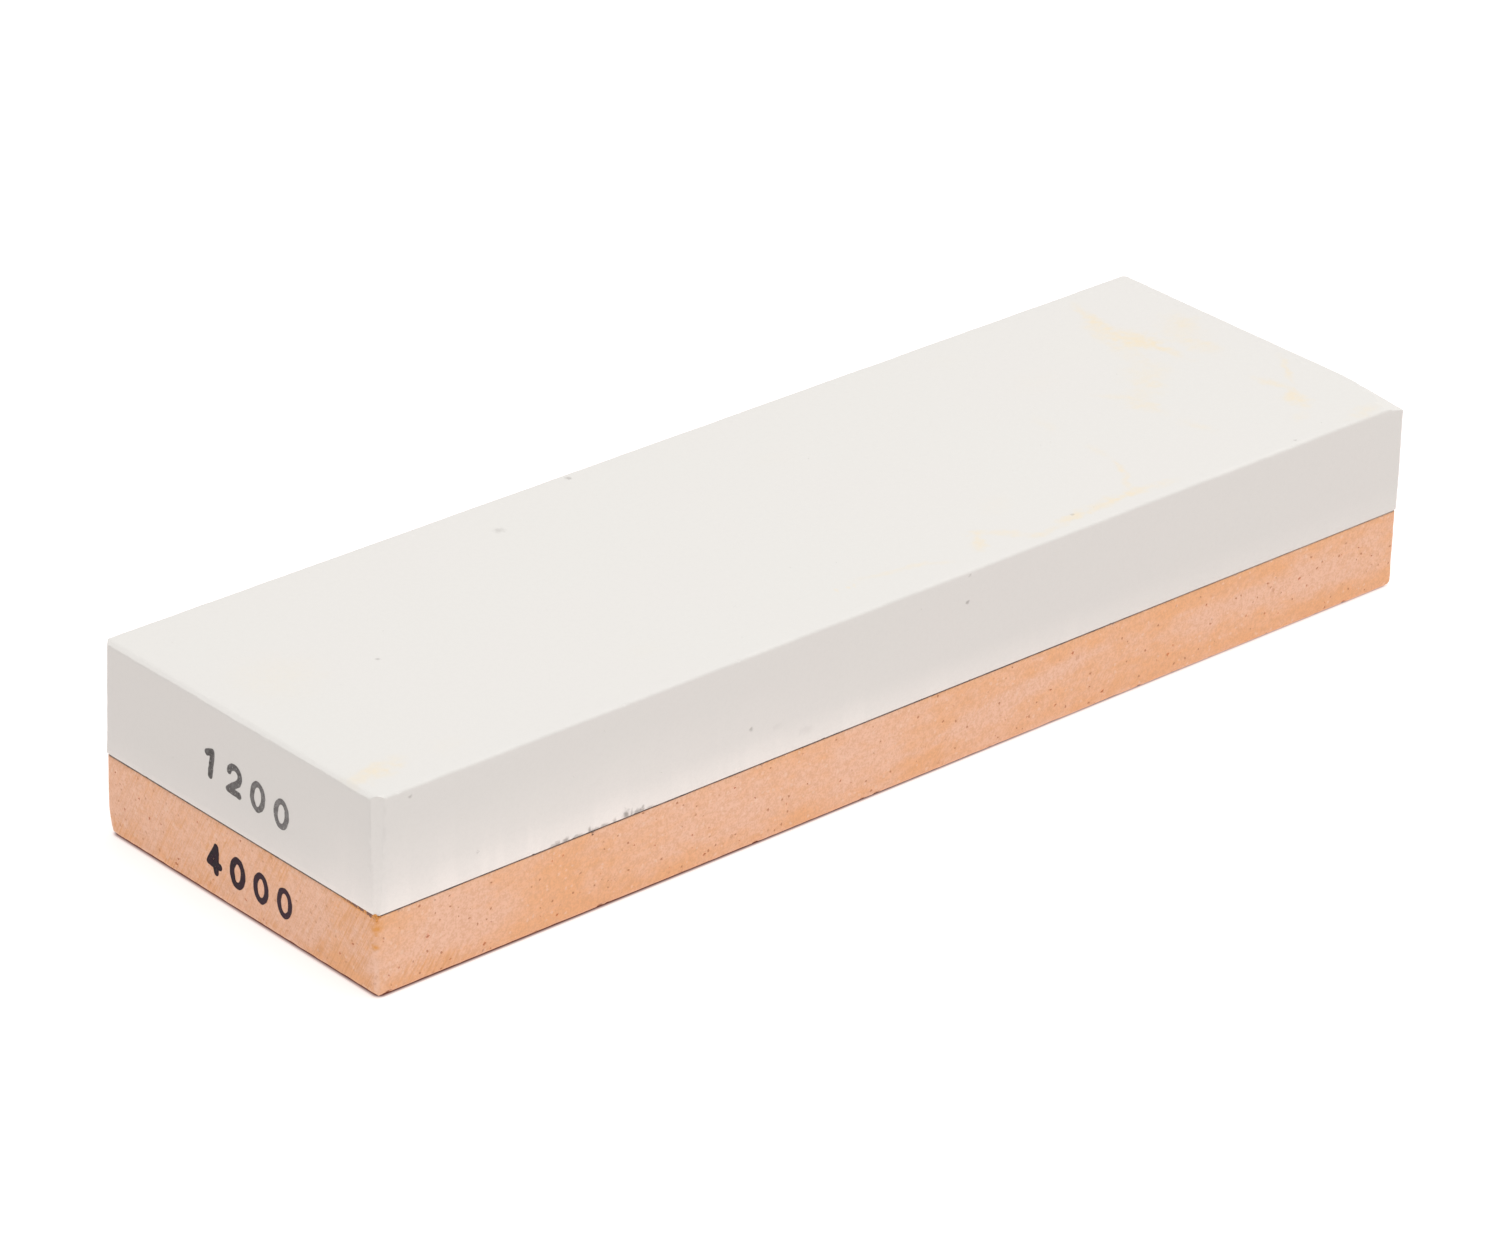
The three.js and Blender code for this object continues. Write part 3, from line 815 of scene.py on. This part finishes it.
# ---------------------------------------------------------------------------------------------
# The studio: a pale lit floor before a white backdrop, soft light from all round and a wide
# lamp overhead. The floor glows, brightest far away. Under the stone and just past its edges
# it is painted dark red-brown: a painted contact shadow with painted reddish bounce light.
# ---------------------------------------------------------------------------------------------
floor_radius = 12  # in metres, so that its rim is far off in low views
footprint_corner = 1.7  # in mm, as the material reads places
floor_bmesh = bmesh.new()
bmesh.ops.create_circle(floor_bmesh, cap_ends=True, segments=64, radius=floor_radius)
floor_mesh = bpy.data.meshes.new("studio_floor")
floor_bmesh.to_mesh(floor_mesh)
floor_bmesh.free()
floor = bpy.data.objects.new("studio_floor", floor_mesh)
bpy.context.collection.objects.link(floor)
floor_material, tree, shader, place = new_material("lit white floor", 0.9)
axes = split(tree, place)
past_end = calc(tree, "SUBTRACT", calc(tree, "ABSOLUTE", axes[0]),
                fine_high.x / mm - footprint_corner)
past_side = calc(tree, "SUBTRACT", calc(tree, "ABSOLUTE", axes[1]),
                 fine_high.y / mm - footprint_corner)
# The painted shadow reaches a little further out along the long sides towards the stamped end.
past_side = calc(tree, "SUBTRACT", past_side, ramp(tree, axes[0], -40.0, 70.0, 0.24, 0.0))
past_end = calc(tree, "POWER", calc(tree, "MAXIMUM", past_end, 0.0), 2.0)
past_side = calc(tree, "POWER", calc(tree, "MAXIMUM", past_side, 0.0), 2.0)
past_both = calc(tree, "SQRT", calc(tree, "ADD", past_end, past_side))
clear_of_painted_shadow = ramp(tree, past_both, footprint_corner - 1.05, footprint_corner - 0.1)
far_off = add_node(tree, "VectorMath", {"operation": "LENGTH"}, {0: place}).outputs["Value"]
glow_and_painted_light = blend(tree, ramp(tree, far_off, 600.0, 2000.0), (0.68, 0.646, 0.639, 1), (1, 1, 1, 1))
# Painted contact shadow: the floor's glow is painted out to dark red-brown round the stone.
glow_and_painted_light = blend(tree, clear_of_painted_shadow, (0.088, 0.024, 0.014, 1), glow_and_painted_light)
tree.links.new(glow_and_painted_light, shader.inputs["Emission Color"])
shader.inputs["Emission Strength"].default_value = 1.0
# The floor's own colour is painted dark red-brown there as well, as painted shadow.
pale = blend(tree, clear_of_painted_shadow, (0.10, 0.03, 0.025, 1), (0.5, 0.48, 0.475, 1))
tree.links.new(pale, shader.inputs["Base Color"])
shader.inputs["Specular IOR Level"].default_value = 0.1
floor_mesh.materials.append(floor_material)

world = bpy.data.worlds.new("studio")
bpy.context.scene.world = world
world.use_nodes = True
tree = world.node_tree
backdrop = tree.nodes["Background"]
backdrop.inputs["Color"].default_value = (1, 1, 1, 1)
seen = add_node(tree, "LightPath").outputs["Is Camera Ray"]
tree.links.new(calc(tree, "MAXIMUM", seen, 0.5), backdrop.inputs["Strength"])

lamp_data = bpy.data.lights.new("overhead_softbox", "AREA")
lamp_data.shape = "SQUARE"
lamp_data.size = 1.2
lamp_data.energy = 17.8
lamp = bpy.data.objects.new("overhead_softbox", lamp_data)
lamp.location = (0.1, -0.13, 1.5)
lamp.rotation_euler = Vector(lamp.location).to_track_quat("Z", "Y").to_euler()
bpy.context.collection.objects.link(lamp)

# ---------------------------------------------------------------------------------------------
# The camera: a long lens, a metre away, looking down on the stamped end and one long side.
# ---------------------------------------------------------------------------------------------
camera_azimuth = math.radians(-42.37)
camera_elevation = math.radians(27.06)
camera_roll = math.radians(1.58)
camera_distance = 1000.6 * mm
camera_right = -3.85 * mm
camera_up = 11.7 * mm
camera_data = bpy.data.cameras.new("camera")
camera_data.sensor_width = 36
camera_data.lens = 162.76
camera = bpy.data.objects.new("camera", camera_data)
bpy.context.collection.objects.link(camera)
back = Vector((
    math.sin(camera_azimuth) * math.cos(camera_elevation),
    -math.cos(camera_azimuth) * math.cos(camera_elevation),
    math.sin(camera_elevation),
))
facing = back.to_track_quat("Z", "Y").to_matrix() @ Matrix.Rotation(camera_roll, 3, "Z")
centred = back * camera_distance + facing @ Vector((camera_right, camera_up, 0))
camera.matrix_world = Matrix.Translation(centred) @ facing.to_4x4()
bpy.context.scene.camera = camera
bpy.context.scene.view_settings.view_transform = "Standard"
